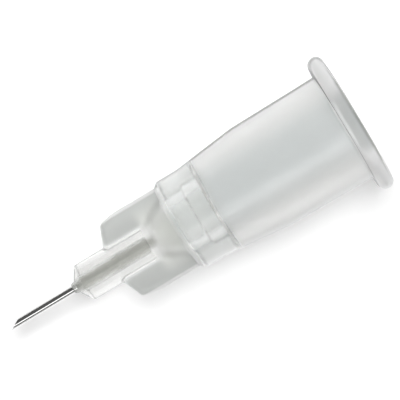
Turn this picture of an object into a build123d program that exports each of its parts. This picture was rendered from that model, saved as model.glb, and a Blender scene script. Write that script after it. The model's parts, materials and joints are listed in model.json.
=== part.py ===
"""A mesotherapy needle: a moulded hub, a short ground steel tube and the adhesive that holds it.

Millimetres, +Z up. The needle lies on a table as it comes to rest, on the flat between its lock
lugs and on the front edge of its collar. +X runs towards the point, and the origin is on the
table in the middle of the part's footprint. Lengths along the hub start at its open mouth.
"""
import os
from math import asin, atan, atan2, cos, hypot, radians, sin, sqrt, tan

from build123d import *

# Syringe socket: a six percent cone, open at the mouth
socket_mouth_diameter = 4.28
socket_taper = 0.06
socket_depth = 8.69
socket_floor_bevel = 0.15
mouth_bevel = 0.1

# Chamber past the socket, the funnel, the short guide for the tube and the wider bore past it
chamber_diameter = 2.34
chamber_length = 2.18
core_step_diameter = 2.12
core_step_length = 1.28
core_step_slope = 0.1
funnel_length = 1.24
funnel_throat_diameter = 0.9
guide_length = 0.5
guide_clearance = 0.012
nose_bore_diameter = 0.62

# Barrel, shoulder and collar
mouth_wall = 0.88
barrel_draft = 0.7
shoulder_length = 3.53
shoulder_round = 2.5
collar_wall = 0.68
collar_length = 1.21
collar_edge_round = 0.1
collar_bevel_length = 0.29
collar_bevel_depth = 0.24

# Flange with two lock lugs, one on each side, and a flat above and below
lug_rise = 0.88
lug_flat_rise = 0.34
lug_thickness = 0.84
lug_crest_round = 0.36
lug_front_round = 0.44
lug_flat_round = 0.12
lug_root_round = 0.12

# Root cone, nose and its conical end
root_wall = 0.58
nose_diameter = 2.08
nose_length = 5.63
nose_end_angle = 59.0
nose_tip_diameter = 0.76
nose_round = 0.1

# Fins
fin_length = 3.81
fin_thickness = 1.36
fin_edge_round = 0.6
fin_front_lean = 22.5
fin_corner_length = 0.72
fin_corner_drop = 0.18
fin_root_round = 0.1

# Tube, with a point ground in three faces
cannula_diameter = 0.4
cannula_bore_diameter = 0.21
cannula_free_length = 4.17
cannula_setback = 0.05
bevel_length = 0.75
lancet_length = 0.34
lancet_turn = 35.0

# Adhesive, a plug at the front end of the nose bore
adhesive_depth = 0.66
bead_length = 0.26
bead_swell = 0.04


def socket_radius(depth):
    """The socket's radius at this depth below the mouth."""
    return (socket_mouth_diameter - socket_taper * depth) / 2


def barrel_radius(depth):
    """The barrel's outer radius, which narrows a little for the mould."""
    return socket_mouth_diameter / 2 + mouth_wall - depth * tan(radians(barrel_draft))


# Stations along the axis, from the mouth towards the point
collar_front = socket_depth + chamber_length
bevel_start = collar_front - collar_bevel_length
collar_start = bevel_start - collar_length
shoulder_start = collar_start - shoulder_length
socket_wall_end = socket_depth - socket_floor_bevel
core_step_start = collar_front - core_step_length
funnel_end = collar_front + funnel_length
guide_end = funnel_end + guide_length
fin_root = collar_front + fin_length
nose_end_start = collar_front + nose_length
nose_end_length = (nose_diameter - nose_tip_diameter) / 2 / tan(radians(nose_end_angle))
nose_tip = nose_end_start + nose_end_length
adhesive_start = nose_tip - adhesive_depth
cannula_start = funnel_end + cannula_setback
cannula_tip = nose_tip + cannula_free_length

# Radii round the axis
lug_flat = barrel_radius(0) + lug_flat_rise
lug_radius = barrel_radius(0) + lug_rise
collar_radius = socket_radius(socket_depth) + collar_wall
fin_reach = collar_radius - collar_bevel_depth
root_radius = chamber_diameter / 2 + root_wall
nose_radius = nose_diameter / 2
cannula_radius = cannula_diameter / 2
guide_radius = cannula_radius + guide_clearance
nose_bore_radius = nose_bore_diameter / 2

# The axis leans so that the rounded front edge of the lower flat and the rounded edge of the
# collar touch the table. In the side view each edge is a circle, and the table touches both.
bevel_angle = atan2(collar_bevel_depth, collar_bevel_length)
collar_edge_back = collar_edge_round * tan(bevel_angle / 2)
flat_edge = (lug_thickness - lug_flat_round, lug_flat - lug_flat_round)
collar_edge = (bevel_start - collar_edge_back, collar_radius - collar_edge_round)
edge_run = collar_edge[0] - flat_edge[0]
edge_drop = flat_edge[1] - collar_edge[1]
round_difference = lug_flat_round - collar_edge_round
tilt = atan2(edge_drop, edge_run) + asin(round_difference / hypot(edge_run, edge_drop))
mouth_height = flat_edge[0] * sin(tilt) + flat_edge[1] * cos(tilt) + lug_flat_round

# The footprint runs from the lower back edge of the flange to the point
back_reach = (lug_flat - lug_flat_round) * sin(tilt) + lug_flat_round * (1 - cos(tilt))
mouth_x = (back_reach - cannula_tip * cos(tilt)) / 2

along = Vector(cos(tilt), 0, -sin(tilt))
above = Vector(sin(tilt), 0, cos(tilt))
sideways = Vector(0, 1, 0)
mouth_centre = Vector(mouth_x, 0, mouth_height)

hub_axis = Axis(mouth_centre, along)
mouth_plane = Plane(origin=mouth_centre, x_dir=sideways, z_dir=along)
section_plane = Plane(origin=mouth_centre, x_dir=along, z_dir=-sideways)
fin_plane = Plane(origin=mouth_centre, x_dir=along, z_dir=above)


def turned_outline(*corners):
    """Draws the closed outline of a turned form. Each corner is its station, radius and rounding."""
    points = [corner[:2] for corner in corners]
    rounds = [corner[2] for corner in corners]
    FilletPolyline(*points, radius=rounds, close=True)


def axis_distance(spot):
    """How far a spot lies from the hub's axis."""
    return (spot - mouth_centre).cross(along).length


# Flange: a disc with a rounded crest and two flats, which leaves a lug on each side
with BuildPart() as flange:
    with BuildSketch(section_plane):
        with BuildLine():
            turned_outline(
                (0, 0, 0),
                (0, lug_radius, lug_crest_round),
                (lug_thickness, lug_radius, lug_front_round),
                (lug_thickness, 0, 0),
            )
        make_face()
    revolve(axis=hub_axis)
    with BuildSketch(mouth_plane):
        Rectangle(2 * lug_radius, 2 * lug_flat)
    extrude(amount=lug_thickness, mode=Mode.INTERSECT)
    flats = flange.faces().filter_by(Axis(mouth_centre, above))
    flat_edges = flats.edges().filter_by(Axis(mouth_centre, sideways))
    fillet(flat_edges, lug_flat_round)

# Fins: one plate through the axis, with its free edges rounded
with BuildPart() as fins:
    lean = tan(radians(fin_front_lean))
    corner_reach = fin_reach - fin_corner_drop
    corner_station = fin_root - (corner_reach - nose_radius) * lean
    with BuildSketch(fin_plane):
        with BuildLine():
            Polyline(
                (bevel_start, 0),
                (bevel_start, fin_reach),
                (corner_station - fin_corner_length, fin_reach),
                (corner_station, corner_reach),
                (fin_root + nose_radius * lean, 0),
                close=True,
            )
        make_face()
        mirror(about=Plane.XZ)
    extrude(amount=fin_thickness / 2, both=True)
    rims = fins.faces().filter_by(Axis(mouth_centre, above)).edges()
    fillet(rims - rims.group_by(hub_axis)[0], fin_edge_round)

with BuildPart() as hub:
    # Barrel, shoulder, collar, root cone and nose, turned in one outline
    with BuildSketch(section_plane):
        with BuildLine():
            turned_outline(
                (0, 0, 0),
                (0, (barrel_radius(0) + lug_flat) / 2, 0),
                (lug_thickness, (barrel_radius(0) + lug_flat) / 2, 0),
                (lug_thickness, barrel_radius(lug_thickness), lug_root_round),
                (shoulder_start, barrel_radius(shoulder_start), shoulder_round),
                (collar_start, collar_radius, shoulder_round),
                (bevel_start, collar_radius, collar_edge_round),
                (collar_front, fin_reach, nose_round / 2),
                (collar_front, root_radius, 0),
                (funnel_end, nose_radius, 0),
                (nose_end_start, nose_radius, nose_round),
                (nose_tip, nose_tip_diameter / 2, 0),
                (nose_tip, 0, 0),
            )
        make_face()
    revolve(axis=hub_axis)
    add(flange.part)
    add(fins.part)

    # Small fillets where the fins' flat sides meet the nose, whose own seam lies in the middle plane
    lengthwise = hub.edges().filter_by(hub_axis)
    nose_edges = lengthwise.filter_by(lambda edge: abs(axis_distance(edge @ 0.5) - nose_radius) < 0.001)
    fin_roots = nose_edges.filter_by(lambda edge: abs((edge @ 0.5).Y) > 0.001)
    fillet(fin_roots, fin_root_round)

    # Socket, chamber, funnel, guide and nose bore, cut in one outline
    with BuildSketch(section_plane):
        with BuildLine():
            turned_outline(
                (0, 0, 0),
                (0, socket_radius(0) + mouth_bevel, 0),
                (mouth_bevel, socket_radius(mouth_bevel), 0),
                (socket_wall_end, socket_radius(socket_wall_end), 0),
                (socket_depth, socket_radius(socket_depth) - socket_floor_bevel, 0),
                (socket_depth, chamber_diameter / 2, 0),
                (core_step_start, chamber_diameter / 2, 0),
                (core_step_start + core_step_slope, core_step_diameter / 2, 0),
                (collar_front, core_step_diameter / 2, 0),
                (funnel_end, funnel_throat_diameter / 2, 0),
                (funnel_end, guide_radius, 0),
                (guide_end, guide_radius, 0),
                (guide_end, nose_bore_radius, 0),
                (nose_tip, nose_bore_radius, 0),
                (nose_tip, 0, 0),
            )
        make_face()
    revolve(axis=hub_axis, mode=Mode.SUBTRACT)
hub.part.label = "hub"

# Tube: the point lies on the far side, and the main bevel faces the near side
with BuildPart() as cannula:
    with BuildSketch(mouth_plane.offset(cannula_start)):
        Circle(cannula_radius)
        Circle(cannula_bore_diameter / 2, mode=Mode.SUBTRACT)
    extrude(amount=cannula_tip - cannula_start)

    point = mouth_centre + along * cannula_tip + sideways * cannula_radius
    bevel_slope = cannula_diameter / bevel_length
    bevel_normal = along * sin(atan(bevel_slope)) - sideways * cos(atan(bevel_slope))
    split(bisect_by=Plane(origin=point, z_dir=bevel_normal), keep=Keep.BOTTOM)

    # Two lancet faces meet at the point and run out where the bevel is this wide
    lancet_height = cannula_radius - lancet_length * bevel_slope
    lancet_spread = sqrt(cannula_radius**2 - lancet_height**2) / lancet_length
    turn = radians(lancet_turn)
    lancet_angle = atan(lancet_spread * sin(turn) + bevel_slope * cos(turn))
    for side in (-1, 1):
        outward = above * side * sin(turn) - sideways * cos(turn)
        lancet_normal = along * sin(lancet_angle) + outward * cos(lancet_angle)
        split(bisect_by=Plane(origin=point, z_dir=lancet_normal), keep=Keep.BOTTOM)
cannula.part.label = "cannula"

# Adhesive: a sleeve in the end of the nose bore, with a swollen bead at the nose's tip
with BuildPart() as adhesive:
    with BuildSketch(section_plane):
        with BuildLine():
            bead_root = (nose_tip, nose_bore_radius)
            bead_end = (nose_tip + bead_length, cannula_radius)
            bead_middle = (
                (bead_root[0] + bead_end[0]) / 2 + bead_swell,
                (bead_root[1] + bead_end[1]) / 2 + bead_swell,
            )
            Polyline(
                bead_end,
                (adhesive_start, cannula_radius),
                (adhesive_start, nose_bore_radius),
                bead_root,
            )
            ThreePointArc(bead_root, bead_middle, bead_end)
        make_face()
    revolve(axis=hub_axis)
adhesive.part.label = "adhesive"

os.makedirs("parts", exist_ok=True)
export_step(hub.part, "parts/hub.step")
export_step(cannula.part, "parts/cannula.step")
export_step(adhesive.part, "parts/adhesive.step")
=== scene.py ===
"""A mesotherapy needle on a white table: moulded translucent hub, ground steel tube, clear adhesive.

The scene is in metres, in the frame of the solid model: +Z up, +X towards the point. Sizes are in
millimetres unless a comment says otherwise, and stations run along the needle's axis from the hub's
open mouth.
"""
import json
from math import atan2, ceil, cos, pi, radians, sin, sqrt, tan

import bmesh
import bpy
import numpy as np
from mathutils import Matrix, Vector


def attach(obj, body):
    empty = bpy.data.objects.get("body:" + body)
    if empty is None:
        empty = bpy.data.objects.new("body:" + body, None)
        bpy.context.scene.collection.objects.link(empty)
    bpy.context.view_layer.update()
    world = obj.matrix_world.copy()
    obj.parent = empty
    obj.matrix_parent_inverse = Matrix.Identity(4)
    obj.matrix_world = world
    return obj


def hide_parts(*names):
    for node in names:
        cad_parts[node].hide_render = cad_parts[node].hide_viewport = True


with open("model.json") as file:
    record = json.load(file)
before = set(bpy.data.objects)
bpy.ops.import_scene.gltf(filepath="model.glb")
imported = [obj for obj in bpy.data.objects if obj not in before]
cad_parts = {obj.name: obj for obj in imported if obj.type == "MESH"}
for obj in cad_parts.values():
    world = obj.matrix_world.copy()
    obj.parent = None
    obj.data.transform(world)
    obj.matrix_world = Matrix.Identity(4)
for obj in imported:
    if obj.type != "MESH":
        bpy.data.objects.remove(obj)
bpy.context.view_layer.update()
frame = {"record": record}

MM = 0.001

# The frame: the socket's mount gives the middle of the mouth and the axis
socket = next(mount for mount in frame["record"]["mounts"] if mount["name"] == "syringe_socket")
mouth_centre = Vector(socket["pos_m"])
along = -Vector(socket["axis"]).normalized()
sideways = Vector((0, 1, 0))
above = along.cross(sideways)
tilt = atan2(-along.z, along.x)

# Socket, chamber and funnel
socket_mouth_diameter = 4.28
socket_taper = 0.06
socket_depth = 8.69
socket_floor_round = 0.4
mouth_bevel = 0.1
chamber_diameter = 2.34
chamber_length = 2.18
core_step_diameter = 2.12
core_step_length = 1.28
core_step_slope = 0.1
core_step_round = 0.15
funnel_length = 1.24
funnel_throat_diameter = 0.9
guide_clearance = 0.012

# Barrel, shoulder and collar
mouth_wall = 0.88
barrel_draft = 0.7
shoulder_length = 3.53
shoulder_round = 2.5
collar_wall = 0.68
collar_length = 1.21
collar_edge_round = 0.1
collar_bevel_length = 0.29
collar_bevel_depth = 0.24

# Flange with its two lugs and two flats
lug_rise = 0.88
lug_flat_rise = 0.34
lug_thickness = 0.84
lug_crest_round = 0.36
lug_front_round = 0.44
lug_flat_round = 0.2
lug_root_round = 0.12
lug_end_blend = 0.6

# Root cone, nose and its conical end
root_wall = 0.58
root_round = 0.25
root_flare_round = 1.2
nose_diameter = 2.08
nose_length = 5.63
nose_end_angle = 59.0
nose_tip_diameter = 0.76
nose_round = 0.16
nose_tip_round = 0.03

# Fins, which run softly into the root cone and less so into the nose. The one softness changes to
# the other within fin_blend_reach of the cone's end.
fin_length = 3.81
fin_thickness = 1.36
fin_edge_round = 0.35
fin_front_lean = 22.5
fin_corner_length = 0.72
fin_corner_drop = 0.18
fin_corner_blend = 0.12
fin_root_blend = 0.9
fin_nose_blend = 0.2
fin_least_blend = 0.01
fin_blend_reach = 0.4

# Tube and its point
cannula_diameter = 0.4
cannula_bore_diameter = 0.21
cannula_free_length = 4.17
cannula_setback = 0.05
bevel_length = 0.75
lancet_length = 0.34
lancet_turn = 35.0

# Nose bore with its guide, and the adhesive that plugs it
guide_length = 0.5
nose_bore_diameter = 0.62
adhesive_depth = 0.66
bead_length = 0.26
bead_swell = 0.04
adhesive_overlap = 0.001

# How fine the meshes are: columns round the axis, rows of the tube and its point, rows of the bead,
# and the longest run between two rows elsewhere. An arc has a row for every arc_step degrees.
hub_columns = 256
tube_columns = 96
tube_rows = 12
grind_rows = 40
wall_rows = 7
bead_rows = 17
outer_run = 0.12
inner_run = 1.0
sleeve_run = 0.2
adhesive_back_run = 0.3
arc_step = 12.0

# A run longer than supported_run has a row this close to each of its ends
supported_run = 0.1
support = 0.02

# The tube's rows start to lean this far before its bevel, and the hub's are close together where
# the fins' front edges meet the nose
grind_margin = 0.1
fin_front_before = 1.6
fin_front_after = 0.2
fin_front_run = 0.022

# Points nearer than join_distance and edges shorter than least_edge are joined, in metres. Edges
# sharper than sharp_angle, in degrees, stay sharp. What is below tiny counts as nought.
join_distance = 2e-7
least_edge = 1e-8
sharp_angle = 28.0
tiny = 1e-6

# How often the search for the fins' surface halves its range
halvings = 40

# The order of the hub's materials
outside_number, inside_number, bore_number = range(3)

# Camera, from the photograph: its lean and turn in degrees, its lens, the width that it sees and
# the spot that it looks at
camera_lean = 2.4
camera_turn = 31.0
camera_lens = 200.0
frame_width = 20.725
aim_station = 9.117
aim_side = -0.585

# Surroundings and table, in metres. The table's lift to white is full past far_floor_end, and only
# floor_lift up to far_floor_start. A pure reflection shows it mirrored_share times as strong.
white = (1, 1, 1, 1)
sky_strength = 0.15
sky_through = 0.6
floor_color = (0.9, 0.9, 0.9, 1)
floor_sides = 96
floor_radius = 1.5
floor_gap = 0.00001
floor_lift = 0.2
far_floor_start = 0.03
far_floor_end = 0.12
mirrored_share = 3.0

# Plastic: what it lets through of a shadow ray, and how milky and how rough its parts are
plastic_ior = 1.49
shadow_pass = 0.64
wall_shadow_pass = 0.5
nose_shadow_pass = 0.82
milky_through = 0.6
root_rough = 0.5
clear_rough = 0.2

# Painted light and shade, one colour for each part of the hub, laid over each other in this order.
# Paler where a part looks lit: one side, the walls, the fins' edges, the nose and the lugs' ends,
# with the root cone paler than the fins. Darker where it looks shaded: the chamber, the fins, the
# flange's middle, and a dark line at the mouth.
painted_light_and_shade = {
    "side": (1.0, 1.0, 0.99),
    "walls": (1.0, 1.0, 0.99),
    "chamber": (0.87, 0.885, 0.875),
    "fins": (0.63, 0.645, 0.63),
    "cone": (0.86, 0.87, 0.84),
    "fin_edges": (1.0, 1.0, 1.0),
    "nose": (1.0, 1.0, 0.99),
    "flange": (0.7, 0.715, 0.71),
    "lugs": (1.0, 1.0, 1.0),
    "mouth": (0.35, 0.36, 0.34),
}

# Painted light and shade at the outline: as the surface turns from the camera, the plastic is
# painted paler and then dark. The rimless parts go without this share of the painted dark, so one
# side keeps a light outline.
painted_edge_light = (1.0, 1.0, 1.0)
pale_start = 0.45
pale_end = 0.7
painted_rim_shade = (0.02, 0.022, 0.02)
rim_start = 0.66
rim_end = 0.8
rimless_parts = {"root": 1.0, "lugs": 0.3, "side": 1.0}


def socket_radius(depth):
    """The socket's radius at this depth below the mouth."""
    return (socket_mouth_diameter - socket_taper * depth) / 2


def barrel_radius(depth):
    """The barrel's outer radius, which narrows a little for the mould."""
    return socket_mouth_diameter / 2 + mouth_wall - depth * tan(radians(barrel_draft))


# Stations and radii, worked out as in the solids
collar_front = socket_depth + chamber_length
bevel_start = collar_front - collar_bevel_length
collar_start = bevel_start - collar_length
shoulder_start = collar_start - shoulder_length
core_step_start = collar_front - core_step_length
funnel_end = collar_front + funnel_length
fin_root = collar_front + fin_length
nose_end_start = collar_front + nose_length
nose_end_length = (nose_diameter - nose_tip_diameter) / 2 / tan(radians(nose_end_angle))
nose_tip = nose_end_start + nose_end_length
guide_end = funnel_end + guide_length
adhesive_start = nose_tip - adhesive_depth
cannula_start = funnel_end + cannula_setback
cannula_tip = nose_tip + cannula_free_length
lug_flat = barrel_radius(0) + lug_flat_rise
lug_radius = barrel_radius(0) + lug_rise
collar_radius = socket_radius(socket_depth) + collar_wall
fin_reach = collar_radius - collar_bevel_depth
root_radius = chamber_diameter / 2 + root_wall
nose_radius = nose_diameter / 2
cannula_radius = cannula_diameter / 2
bore_radius = cannula_bore_diameter / 2
guide_radius = cannula_radius + guide_clearance
nose_bore_radius = nose_bore_diameter / 2

# Where the hub's looks change, as stations along the axis, distances from it and widths to its
# sides. Each pair is where a look starts and where it is full.
flange_stations = (lug_thickness * 1.3, lug_thickness)
flange_widths = (lug_flat * 0.7, lug_flat * 0.35)
lug_widths = (lug_flat * 0.35, lug_flat * 0.7)
mouth_start = (0, 0.04)
mouth_end = (lug_thickness / 4, 0.06)
flange_root_start = (lug_thickness - 0.05, lug_thickness)
flange_root_end = (lug_thickness + 0.2, lug_thickness + 0.06)
side_widths = (chamber_diameter / 4, chamber_diameter)
wall_widths = (chamber_diameter / 2, chamber_diameter)
chamber_start = (socket_depth - 0.4, socket_depth + 0.1)
chamber_end = (bevel_start + 0.2, bevel_start)
root_stations = (funnel_end + 0.6, funnel_end)
cone_widths = (root_radius * 1.2, root_radius * 0.6)
fin_stations = (bevel_start, collar_front)
fin_distances = (nose_radius * 1.1, nose_radius * 1.3)
fin_edge_widths = (fin_reach - 0.22, fin_reach - 0.12)
nose_stations = (collar_front, funnel_end)
nose_distances = (nose_radius * 1.2, nose_radius * 1.02)


def smooth_max(one, other, width):
    """The larger of two, with a soft changeover where they differ by less than the width."""
    overlap = np.clip(width - np.abs(one - other), 0, None) / width
    return np.maximum(one, other) + overlap**2 * width / 4


def smooth_min(one, other, width):
    """The smaller of two, with the same soft changeover."""
    return -smooth_max(-one, -other, width)


def rounded_path(corners):
    """Points of an open outline. Each corner is its station, radius and rounding."""
    spots = [np.array(corner[:2], float) for corner in corners]
    points = [spots[0]]
    for before, corner, after, (*_, radius) in zip(spots, spots[1:], spots[2:], corners[1:-1]):
        inward = (before - corner) / np.linalg.norm(before - corner)
        outward = (after - corner) / np.linalg.norm(after - corner)
        turn = pi - np.arccos(np.clip(inward @ outward, -1, 1))
        if radius == 0 or turn < tiny:
            points.append(corner)
            continue
        reach = radius * tan(turn / 2)
        middle = corner + (inward + outward) / np.linalg.norm(inward + outward) * radius / cos(turn / 2)
        start = corner + inward * reach - middle
        end = corner + outward * reach - middle
        count = max(2, ceil(np.degrees(turn) / arc_step))
        side = np.sign(start[0] * end[1] - start[1] * end[0])
        for step in range(count + 1):
            angle = side * turn * step / count
            spin = np.array([[cos(angle), -sin(angle)], [sin(angle), cos(angle)]])
            points.append(middle + spin @ start)
    points.append(spots[-1])
    return points


def divided(points, longest):
    """The same outline with no run longer than this, and with points close to each long run's ends."""
    out = [points[0]]
    for start, end in zip(points, points[1:]):
        length = np.linalg.norm(end - start)
        if length < tiny:
            continue
        shares = list(np.linspace(0, 1, max(1, ceil(length / longest)) + 1)[1:])
        if length > supported_run:
            shares = sorted([support / length, 1 - support / length, *shares])
        out.extend(start + (end - start) * share for share in shares)
    return np.array(out)


def angles_round(count):
    """Evenly spaced angles once round the axis, in one row."""
    return np.arange(count)[None, :] * 2 * pi / count


def spun(path, angles):
    """The stations and radii of an outline, repeated at every angle, and the angles themselves."""
    return path[:, :1] + 0 * angles, path[:, 1:] + 0 * angles, 0 * path[:, :1] + angles


def place(station, radius, angle):
    """Points in metres, from stations along the axis, radii and angles round it from the side."""
    flat = station[..., None] * np.array(along)
    flat = flat + (radius * np.cos(angle))[..., None] * np.array(sideways)
    flat = flat + (radius * np.sin(angle))[..., None] * np.array(above)
    return np.array(mouth_centre) + flat * MM


def ring_piece(name, grid, surfaces=((0, 0),)):
    """A closed smooth-shaded mesh from a grid of points that joins up in both directions.

    Each surface is the row that it starts at and the number of its material.
    """
    rows, columns = grid.shape[:2]
    row, column = np.meshgrid(np.arange(rows), np.arange(columns), indexing="ij")
    next_row, next_column = (row + 1) % rows, (column + 1) % columns
    corners = (
        row * columns + column,
        next_row * columns + column,
        next_row * columns + next_column,
        row * columns + next_column,
    )
    faces = np.stack(corners, axis=-1).reshape(-1, 4)
    mesh = bpy.data.meshes.new(name)
    mesh.from_pydata(grid.reshape(-1, 3).tolist(), [], faces.tolist())
    starts, numbers = (np.array(values) for values in zip(*surfaces))
    chosen = numbers[np.searchsorted(starts, row, side="right") - 1]
    mesh.polygons.foreach_set("material_index", chosen.astype("int32").ravel())
    work = bmesh.new()
    work.from_mesh(mesh)
    bmesh.ops.remove_doubles(work, verts=work.verts, dist=join_distance)
    bmesh.ops.dissolve_degenerate(work, edges=work.edges, dist=least_edge)
    bmesh.ops.recalc_face_normals(work, faces=work.faces)
    work.to_mesh(mesh)
    work.free()
    mesh.shade_smooth()
    mesh.set_sharp_from_angle(angle=radians(sharp_angle))
    piece = bpy.data.objects.new(name, mesh)
    bpy.context.scene.collection.objects.link(piece)
    return piece


def flat_reach(station):
    """How far the flats between the lugs stand from the axis, with their rounded edges."""
    inset = np.minimum(station, lug_thickness - station)
    short = np.clip(lug_flat_round - inset, 0, lug_flat_round)
    return lug_flat - lug_flat_round + np.sqrt(lug_flat_round**2 - short**2)


def fin_inset(station, reach):
    """How far a spot of the fins' middle plane lies inside their outline."""
    lean = tan(radians(fin_front_lean))
    corner_reach = fin_reach - fin_corner_drop
    corner_station = fin_root - (corner_reach - nose_radius) * lean
    slope = fin_corner_drop / fin_corner_length
    top = fin_reach - reach
    corner = (corner_reach + (corner_station - station) * slope - reach) / sqrt(1 + slope**2)
    front = (fin_root - (reach - nose_radius) * lean - station) / sqrt(1 + lean**2)
    return smooth_min(smooth_min(top, corner, fin_corner_blend), front, fin_corner_blend)


def fin_half_thickness(station, reach):
    """Half the fins' thickness at a spot of their middle plane, below zero outside their outline."""
    inset = fin_inset(station, reach)
    short = np.clip(fin_edge_round - inset, 0, fin_edge_round)
    half = fin_thickness / 2 - fin_edge_round + np.sqrt(fin_edge_round**2 - short**2)
    return np.where(inset < 0, -1, half)


def fin_radius(station, angle):
    """How far the fins' surface lies from the axis in this direction, found by halving."""
    low = np.zeros(np.broadcast(station, angle).shape)
    high = np.full(low.shape, 2 * fin_reach)
    for _ in range(halvings):
        middle = (low + high) / 2
        reach = np.abs(middle * np.cos(angle))
        rise = np.abs(middle * np.sin(angle))
        inside = rise <= fin_half_thickness(station, reach)
        low = np.where(inside, middle, low)
        high = np.where(inside, high, middle)
    return low


def hub_outer(angles):
    """Stations, radii and angles of the hub's outside, from the mouth's inner edge to the nose's tip."""
    outline = divided(
        rounded_path([
            (0, socket_radius(0) + mouth_bevel, 0),
            (0, lug_radius, lug_crest_round),
            (lug_thickness, lug_radius, lug_front_round),
            (lug_thickness, barrel_radius(lug_thickness), lug_root_round),
            (shoulder_start, barrel_radius(shoulder_start), shoulder_round),
            (collar_start, collar_radius, shoulder_round),
            (bevel_start, collar_radius, collar_edge_round),
            (collar_front, fin_reach, nose_round / 2),
            (collar_front, root_radius, root_round),
            (funnel_end, nose_radius, root_flare_round),
            (nose_end_start, nose_radius, nose_round),
            (nose_tip, nose_tip_diameter / 2, nose_tip_round),
            (nose_tip, nose_bore_radius, 0),
        ]),
        outer_run,
    )
    fin_front = np.arange(fin_root - fin_front_before, fin_root + fin_front_after, fin_front_run)
    close_rows = np.stack([fin_front, np.full(fin_front.shape, nose_radius)], axis=1)
    before = outline[outline[:, 0] < fin_front[0]]
    after = outline[outline[:, 0] > fin_front[-1]]
    station, radius, angle = spun(np.concatenate([before, close_rows, after]), angles)

    # The flats cut the flange, with a soft end at each lug
    with np.errstate(divide="ignore"):
        flats = flat_reach(np.minimum(station, lug_thickness)) / np.abs(np.sin(angle))
    cut = smooth_min(radius, flats, lug_end_blend)
    radius = np.where(station <= lug_thickness + tiny, np.minimum(radius, cut), radius)

    # The fins join the cone softly, and the nose less so
    fins = fin_radius(station, angle)
    blend_stations = (funnel_end - fin_blend_reach, funnel_end + fin_blend_reach)
    widest = np.interp(station, blend_stations, (fin_root_blend, fin_nose_blend))
    softness = np.clip(fin_reach - radius, fin_least_blend, widest)
    joined = smooth_max(radius, fins, softness)
    radius = np.where(station >= collar_front - tiny, joined, radius)
    return station, radius, angle


def hub_inner(angles):
    """Stations, radii and angles of the hub's inside, from the nose's tip back to the mouth."""
    outline = divided(
        rounded_path([
            (nose_tip, nose_bore_radius, 0),
            (guide_end, nose_bore_radius, 0),
            (guide_end, guide_radius, 0),
            (funnel_end, guide_radius, 0),
            (funnel_end, funnel_throat_diameter / 2, 0),
            (collar_front, core_step_diameter / 2, nose_round),
            (core_step_start + core_step_slope, core_step_diameter / 2, core_step_round),
            (core_step_start, chamber_diameter / 2, core_step_round),
            (socket_depth, chamber_diameter / 2, 0),
            (socket_depth, socket_radius(socket_depth), socket_floor_round),
            (mouth_bevel, socket_radius(mouth_bevel), 0),
            (0, socket_radius(0) + mouth_bevel, 0),
        ]),
        inner_run,
    )
    return spun(outline, angles)


def make_hub():
    """The moulded hub, one closed surface outside and in."""
    angles = angles_round(hub_columns)
    outer = place(*hub_outer(angles))
    station, radius, angle = hub_inner(angles)
    inner = place(station, radius, angle)
    bore_row = len(outer)
    funnel_row = bore_row + int(np.argmax(radius[:, 0] > nose_bore_radius + tiny))
    frosted_row = bore_row + int(np.argmax(station[:, 0] < collar_front))
    surfaces = (
        (0, outside_number),
        (bore_row, bore_number),
        (funnel_row, outside_number),
        (frosted_row, inside_number),
    )
    return ring_piece("needle_hub", np.concatenate([outer, inner]), surfaces)


def ground_end(radius, angle):
    """The station where the point's three ground faces cut the tube at this radius and angle."""
    side = radius * np.cos(angle)
    height = radius * np.sin(angle)
    slope = cannula_diameter / bevel_length
    lancet_height = cannula_radius - lancet_length * slope
    spread = sqrt(cannula_radius**2 - lancet_height**2) / lancet_length
    turn = radians(lancet_turn)
    lancet_slope = spread * sin(turn) + slope * cos(turn)
    bevel = cannula_tip - (cannula_radius - side) / slope
    lancets = [
        cannula_tip - (way * height * sin(turn) - (side - cannula_radius) * cos(turn)) / lancet_slope
        for way in (-1, 1)
    ]
    return np.minimum(bevel, np.minimum(*lancets))


def make_cannula():
    """The steel tube with its bore and its ground point."""
    angles = angles_round(tube_columns)
    grind_start = cannula_tip - bevel_length - grind_margin
    straight = np.linspace(cannula_start, grind_start, tube_rows)[:, None]
    share = np.linspace(0, 1, grind_rows)[1:, None]
    stations, radii = [], []
    for radius in (cannula_radius, bore_radius):
        end = ground_end(radius, angles)
        station = np.concatenate([straight + 0 * angles, grind_start + (end - grind_start) * share])
        stations.append(station)
        radii.append(np.full(station.shape, radius))
    wall = np.linspace(cannula_radius, bore_radius, wall_rows)[1:-1, None] + 0 * angles
    station = np.concatenate([stations[0], ground_end(wall, angles), stations[1][::-1]])
    radius = np.concatenate([radii[0], wall, radii[1][::-1]])
    return ring_piece("needle_tube", place(station, radius, 0 * station + angles))


def make_adhesive():
    """The cured adhesive, a sleeve in the nose's bore that ends in a small swollen bead."""
    inner = cannula_radius - adhesive_overlap
    back_inner = np.array([adhesive_start, inner])
    back_outer = np.array([adhesive_start, nose_bore_radius])
    root = np.array([nose_tip, nose_bore_radius])
    end = np.array([nose_tip + bead_length, inner])

    # The bead's curve passes through its middle halfway from its root to its end
    middle = (root + end) / 2 + bead_swell
    control = 2 * middle - (root + end) / 2
    share = np.linspace(0, 1, bead_rows)[:, None]
    bead = root * (1 - share) ** 2 + 2 * control * share * (1 - share) + end * share**2

    sleeve = divided([back_inner, back_outer, root], sleeve_run)
    back = divided([end, back_inner], adhesive_back_run)
    path = np.concatenate([sleeve[:-1], bead, back[1:-1]])
    return ring_piece("adhesive_bead", place(*spun(path, angles_round(tube_columns))))


def node(tree, kind, **settings):
    """A new node with these properties and input values, an input's name written with underscores."""
    made = tree.nodes.new(kind)
    for name, value in settings.items():
        if hasattr(made, name):
            setattr(made, name, value)
        else:
            made.inputs[name.replace("_", " ")].default_value = value
    return made


def empty_material(name):
    """A material with only its output node."""
    material = bpy.data.materials.new(name)
    material.use_nodes = True
    material.node_tree.nodes.clear()
    return material, material.node_tree, material.node_tree.nodes.new("ShaderNodeOutputMaterial")


def scene_spot(tree):
    """The shaded spot in the scene's frame, in metres."""
    return node(tree, "ShaderNodeTexCoord").outputs["Object"]


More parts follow.
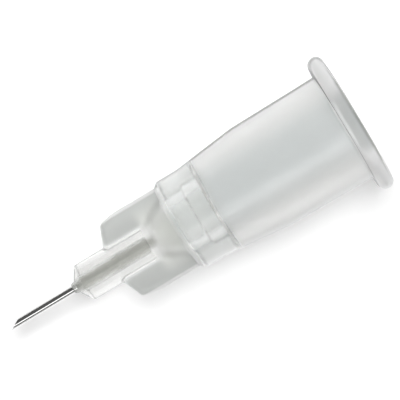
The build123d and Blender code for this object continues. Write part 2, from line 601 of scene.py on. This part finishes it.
def needle_spot(tree):
    """The shaded spot in the needle's own frame: station, side and height in millimetres."""
    turned = node(
        tree,
        "ShaderNodeMapping",
        vector_type="TEXTURE",
        Location=mouth_centre,
        Rotation=(0, tilt, 0),
        Scale=(MM, MM, MM),
    )
    tree.links.new(scene_spot(tree), turned.inputs["Vector"])
    return turned.outputs["Vector"]


def noise(tree, spot, **settings):
    """The value of a noise pattern at this spot."""
    made = node(tree, "ShaderNodeTexNoise", **settings)
    tree.links.new(spot, made.inputs["Vector"])
    return made.outputs["Fac"]


def length_of(tree, vector):
    """The length of a vector."""
    made = node(tree, "ShaderNodeVectorMath", operation="LENGTH")
    tree.links.new(vector, made.inputs[0])
    return made.outputs["Value"]


def combined(tree, operation, one, other, **settings):
    """Two values put together by this operation."""
    made = node(tree, "ShaderNodeMath", operation=operation, **settings)
    tree.links.new(one, made.inputs[0])
    tree.links.new(other, made.inputs[1])
    return made.outputs["Value"]


def times(tree, one, other):
    """The product of two values."""
    return combined(tree, "MULTIPLY", one, other)


def larger(tree, one, other):
    """The larger of two values."""
    return combined(tree, "MAXIMUM", one, other)


def ramp(tree, value, start, end):
    """Nought before the start, one past the end, with a soft change between."""
    made = node(tree, "ShaderNodeMapRange", From_Min=start, From_Max=end, interpolation_type="SMOOTHSTEP")
    tree.links.new(value, made.inputs["Value"])
    return made.outputs["Result"]


def between(tree, value, start, end):
    """One where the value is past the first pair and not yet in the other, with soft ends."""
    return times(tree, ramp(tree, value, *start), ramp(tree, value, *end))


def ranged(tree, value, low, high):
    """A value from nought to one, stretched to run from low to high."""
    made = node(tree, "ShaderNodeMapRange", To_Min=low, To_Max=high)
    tree.links.new(value, made.inputs["Value"])
    return made.outputs["Result"]


def toward(tree, share, value, goal):
    """The value, moved by this share of the way to its goal."""
    made = node(tree, "ShaderNodeMix", data_type="FLOAT", B=goal)
    tree.links.new(share, made.inputs["Factor"])
    tree.links.new(value, made.inputs["A"])
    return made.outputs["Result"]


def blend(tree, share, color, new):
    """The colour with this share of the new one."""
    made = node(tree, "ShaderNodeMix", data_type="RGBA")
    tree.links.new(share, made.inputs["Factor"])
    tree.links.new(color, made.inputs["A"])
    made.inputs["B"].default_value = (*new, 1)
    return made.outputs["Result"]


def tinted(tree, value, low, high, low_at=0.0, high_at=1.0):
    """A colour that runs from the low tint to the high one between these two values."""
    made = node(tree, "ShaderNodeValToRGB")
    for element, tint, position in zip(made.color_ramp.elements, (low, high), (low_at, high_at)):
        element.position = position
        element.color = (*tint, 1)
    tree.links.new(value, made.inputs["Fac"])
    return made.outputs["Color"]


def bumped(tree, height, **settings):
    """The surface's direction, tilted by a pattern of heights."""
    made = node(tree, "ShaderNodeBump", **settings)
    tree.links.new(height, made.inputs["Height"])
    return made.outputs["Normal"]


def either(tree, share, one, other):
    """The first shader where the share is nought, and the other where it is one."""
    made = node(tree, "ShaderNodeMixShader")
    for number, value in enumerate((share, one, other)):
        tree.links.new(value, made.inputs[number])
    return made.outputs["Shader"]


def hub_shares(tree, spot):
    """How much a spot belongs to each part of the hub that has its own painted light or shade, roughness
    or shadow pass.
    """
    link = tree.links.new
    across = node(tree, "ShaderNodeVectorMath", operation="MULTIPLY")
    across.inputs[1].default_value = (0, 1, 1)
    link(spot, across.inputs[0])
    distance = length_of(tree, across.outputs["Vector"])
    parts = node(tree, "ShaderNodeSeparateXYZ")
    link(spot, parts.inputs["Vector"])
    station = parts.outputs["X"]
    side = parts.outputs["Y"]
    absolute = node(tree, "ShaderNodeMath", operation="ABSOLUTE")
    link(side, absolute.inputs[0])
    width = absolute.outputs["Value"]

    rear = ramp(tree, station, *flange_stations)
    front = ramp(tree, station, *nose_stations)
    past_collar = ramp(tree, station, *fin_stations)
    fins = times(tree, past_collar, ramp(tree, distance, *fin_distances))
    root = times(tree, past_collar, ramp(tree, station, *root_stations))
    return {
        "side": ramp(tree, side, *side_widths),
        "walls": ramp(tree, width, *wall_widths),
        "chamber": between(tree, station, chamber_start, chamber_end),
        "fins": fins,
        "fin_edges": times(tree, fins, ramp(tree, width, *fin_edge_widths)),
        "root": root,
        "cone": times(tree, root, ramp(tree, width, *cone_widths)),
        "nose": times(tree, front, ramp(tree, distance, *nose_distances)),
        "flange": times(tree, rear, ramp(tree, width, *flange_widths)),
        "lugs": times(tree, rear, ramp(tree, width, *lug_widths)),
        "mouth": between(tree, station, mouth_start, mouth_end),
        "flange_root": between(tree, station, flange_root_start, flange_root_end),
    }


def plastic_material(name, least_rough, most_rough, through, tint_low, tint_high):
    """Natural translucent polypropylene: milky, softly glossy, a little uneven from the mould, with
    painted light and shade.
    """
    material, tree, out = empty_material(name)
    link = tree.links.new
    spot = needle_spot(tree)
    shares = hub_shares(tree, spot)
    flow = noise(tree, spot, Scale=0.42, Detail=3.0, Roughness=0.5)
    grain = noise(tree, spot, Scale=6.0, Detail=2.0)
    facing = node(tree, "ShaderNodeLayerWeight", Blend=0.5).outputs["Facing"]
    rays = node(tree, "ShaderNodeLightPath")
    shader = node(tree, "ShaderNodeBsdfPrincipled", IOR=plastic_ior)

    color = tinted(tree, flow, tint_low, tint_high, low_at=0.3, high_at=0.7)
    # Painted light and shade by part, laid over the plastic's own uneven tone
    for part, painted_shading in painted_light_and_shade.items():
        color = blend(tree, shares[part], color, painted_shading)
    # Painted light, then painted shade, towards the outline
    color = blend(tree, ramp(tree, facing, pale_start, pale_end), color, painted_edge_light)
    rim = ramp(tree, facing, rim_start, rim_end)
    for part, rimless in rimless_parts.items():
        rim = times(tree, rim, ranged(tree, shares[part], 1.0, 1 - rimless))
    color = blend(tree, rim, color, painted_rim_shade)
    link(color, shader.inputs["Base Color"])

    milk = larger(tree, shares["lugs"], shares["fin_edges"])
    link(ranged(tree, milk, through, milky_through), shader.inputs["Transmission Weight"])
    rough = ranged(tree, flow, least_rough, most_rough)
    rough = toward(tree, larger(tree, shares["nose"], shares["chamber"]), rough, clear_rough)
    rough = toward(tree, larger(tree, shares["root"], shares["flange_root"]), rough, root_rough)
    link(rough, shader.inputs["Roughness"])
    link(bumped(tree, grain, Strength=0.1, Distance=0.000004), shader.inputs["Normal"])

    # Part of each shadow ray goes straight through, which leaves the soft pale shadow
    passed = ranged(tree, shares["walls"], shadow_pass, wall_shadow_pass)
    passed = toward(tree, shares["nose"], passed, nose_shadow_pass)
    clear = node(tree, "ShaderNodeBsdfTransparent")
    link(passed, clear.inputs["Color"])
    surface = either(tree, rays.outputs["Is Shadow Ray"], shader.outputs["BSDF"], clear.outputs["BSDF"])
    link(surface, out.inputs["Surface"])
    return material


def bore_material():
    """The wall of the nose's narrow bore: the same plastic, rough, with painted shade for the dark band
    along the bore.
    """
    material, tree, out = empty_material("bore_painted_shade")
    link = tree.links.new
    painted_shade_mottle = noise(tree, needle_spot(tree), Scale=5.0, Detail=3.0)
    shader = node(
        tree,
        "ShaderNodeBsdfPrincipled",
        IOR=plastic_ior,
        Transmission_Weight=0.6,
        Roughness=0.4,
    )
    # Painted shade: a mottled dark olive grey on the bore's wall
    tint = tinted(tree, painted_shade_mottle, low=(0.3, 0.31, 0.27), high=(0.44, 0.45, 0.4))
    link(tint, shader.inputs["Base Color"])
    link(shader.outputs["BSDF"], out.inputs["Surface"])
    return material


def steel_material():
    """Drawn stainless steel with fine lines along the tube."""
    material, tree, out = empty_material("drawn_stainless")
    link = tree.links.new
    drawn = node(tree, "ShaderNodeMapping", Rotation=(0, tilt, 0), Scale=(400, 20000, 20000))
    link(scene_spot(tree), drawn.inputs["Vector"])
    lines = noise(tree, drawn.outputs["Vector"], Scale=1.0, Detail=3.0)
    shader = node(tree, "ShaderNodeBsdfPrincipled", Metallic=1.0)
    tint = tinted(tree, lines, low=(0.48, 0.48, 0.475), high=(0.66, 0.66, 0.65))
    link(tint, shader.inputs["Base Color"])
    link(ranged(tree, lines, low=0.1, high=0.2), shader.inputs["Roughness"])
    link(bumped(tree, lines, Strength=0.2, Distance=0.000002), shader.inputs["Normal"])
    link(shader.outputs["BSDF"], out.inputs["Surface"])
    return material


def adhesive_material():
    """Cured clear adhesive, glossy, with a faint haze."""
    material, tree, out = empty_material("clear_adhesive")
    link = tree.links.new
    haze = noise(tree, scene_spot(tree), Scale=9000.0, Detail=2.0)
    shader = node(tree, "ShaderNodeBsdfPrincipled", IOR=1.5, Transmission_Weight=0.75)
    tint = tinted(tree, haze, low=(0.84, 0.86, 0.83), high=(0.93, 0.94, 0.91))
    link(tint, shader.inputs["Base Color"])
    link(ranged(tree, haze, low=0.05, high=0.2), shader.inputs["Roughness"])
    link(shader.outputs["BSDF"], out.inputs["Surface"])
    return material


def floor_material():
    """White table that takes the shadow, lifted towards white for the camera and through the plastic.

    The lift is slight round the needle, which keeps the shadow, and full further out. Reflections
    show it too, stronger than the camera does.
    """
    material, tree, out = empty_material("white_table")
    link = tree.links.new
    surface = node(tree, "ShaderNodeBsdfDiffuse", Color=floor_color)
    lift = node(tree, "ShaderNodeEmission", Color=white)
    rays = node(tree, "ShaderNodeLightPath")
    through = rays.outputs["Is Transmission Ray"]
    seen = larger(tree, rays.outputs["Is Camera Ray"], through)
    mirrored = combined(tree, "SUBTRACT", rays.outputs["Is Glossy Ray"], through, use_clamp=True)
    shown = node(tree, "ShaderNodeMath", operation="MULTIPLY_ADD")
    link(mirrored, shown.inputs[0])
    shown.inputs[1].default_value = mirrored_share
    link(seen, shown.inputs[2])
    far = node(
        tree,
        "ShaderNodeMapRange",
        From_Min=far_floor_start,
        From_Max=far_floor_end,
        To_Min=floor_lift,
    )
    link(length_of(tree, scene_spot(tree)), far.inputs["Value"])
    link(times(tree, shown.outputs["Value"], far.outputs["Result"]), lift.inputs["Strength"])
    both = node(tree, "ShaderNodeAddShader")
    link(surface.outputs["BSDF"], both.inputs[0])
    link(lift.outputs["Emission"], both.inputs[1])
    link(both.outputs["Shader"], out.inputs["Surface"])
    return material


def make_floor():
    """The white table, just under the needle."""
    bpy.ops.mesh.primitive_circle_add(
        vertices=floor_sides,
        radius=floor_radius,
        fill_type="NGON",
        location=(0, 0, -floor_gap),
    )
    floor = bpy.context.object
    floor.name = "table_top"
    floor.data.materials.append(floor_material())


def make_world():
    """Plain surroundings: white to the camera, dimmer through the plastic and dim as light."""
    world = bpy.data.worlds.new("studio")
    bpy.context.scene.world = world
    world.use_nodes = True
    tree = world.node_tree
    tree.nodes.clear()
    rays = node(tree, "ShaderNodeLightPath")
    dim, through, bright = (
        node(tree, "ShaderNodeBackground", Color=white, Strength=strength).outputs["Background"]
        for strength in (sky_strength, sky_through, 1.0)
    )
    light = either(tree, rays.outputs["Is Transmission Ray"], dim, through)
    surroundings = either(tree, rays.outputs["Is Camera Ray"], light, bright)
    out = node(tree, "ShaderNodeOutputWorld")
    tree.links.new(surroundings, out.inputs["Surface"])


def make_softbox(name, direction, distance, length, width, brightness, mirrored):
    """A lamp that faces the needle, with its distance and its sides in metres.

    A mirrored one shows only in gloss and through the plastic. Any other gives only plain light.
    """
    lamp = bpy.data.lights.new(name, "AREA")
    lamp.shape = "RECTANGLE"
    lamp.size = length
    lamp.size_y = width
    lamp.energy = brightness * pi * length * width
    holder = bpy.data.objects.new(name, lamp)
    direction = Vector(direction).normalized()
    holder.location = direction * distance
    holder.rotation_euler = direction.to_track_quat("Z", "Y").to_euler()
    holder.visible_glossy = mirrored
    holder.visible_transmission = mirrored
    holder.visible_diffuse = not mirrored
    bpy.context.scene.collection.objects.link(holder)


def make_camera():
    """The photograph's view: nearly square to the axis, from above, turned in its own plane."""
    lean = radians(camera_lean)
    turn = radians(camera_turn)
    back = above * cos(lean) - along * sin(lean)
    level_right = -(along * cos(lean) + above * sin(lean))
    level_up = -sideways
    right = level_right * cos(turn) - level_up * sin(turn)
    up = level_right * sin(turn) + level_up * cos(turn)
    aim = mouth_centre + (along * aim_station + sideways * aim_side) * MM
    lens = bpy.data.cameras.new("camera")
    lens.lens = camera_lens
    lens.clip_start = 0.001
    lens.clip_end = 10
    camera = bpy.data.objects.new("camera", lens)
    distance = frame_width * MM * lens.lens / lens.sensor_width
    turned = Matrix((right, up, back)).transposed().to_4x4()
    camera.matrix_world = Matrix.Translation(aim + back * distance) @ turned
    bpy.context.scene.collection.objects.link(camera)
    bpy.context.scene.camera = camera


hub = make_hub()
cannula = make_cannula()
adhesive = make_adhesive()
outside = plastic_material(
    "moulded_polypropylene",
    least_rough=0.28,
    most_rough=0.34,
    through=0.85,
    tint_low=(0.88, 0.9, 0.893),
    tint_high=(0.91, 0.925, 0.92),
)
inside = plastic_material(
    "frosted_polypropylene",
    least_rough=0.35,
    most_rough=0.45,
    through=0.88,
    tint_low=(0.83, 0.852, 0.852),
    tint_high=(0.87, 0.89, 0.89),
)
for piece, cad_node, slot, materials in (
    (hub, "hub", "hub_plastic", (outside, inside, bore_material())),
    (cannula, "cannula", "cannula_steel", (steel_material(),)),
    (adhesive, "adhesive", "clear_adhesive", (adhesive_material(),)),
):
    for material in materials:
        piece.data.materials.append(material)
    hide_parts(cad_node)
    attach(piece, "root")

make_floor()
make_world()
make_softbox(
    "key_softbox",
    direction=(-0.08, -0.2, 0.97),
    distance=0.3,
    length=0.18,
    width=0.18,
    brightness=8.4,
    mirrored=False,
)
make_softbox(
    "strip_softbox",
    direction=(0, 0.5, 0.87),
    distance=0.3,
    length=0.5,
    width=0.12,
    brightness=2.8,
    mirrored=True,
)
make_camera()
bpy.context.scene.view_settings.view_transform = "Standard"
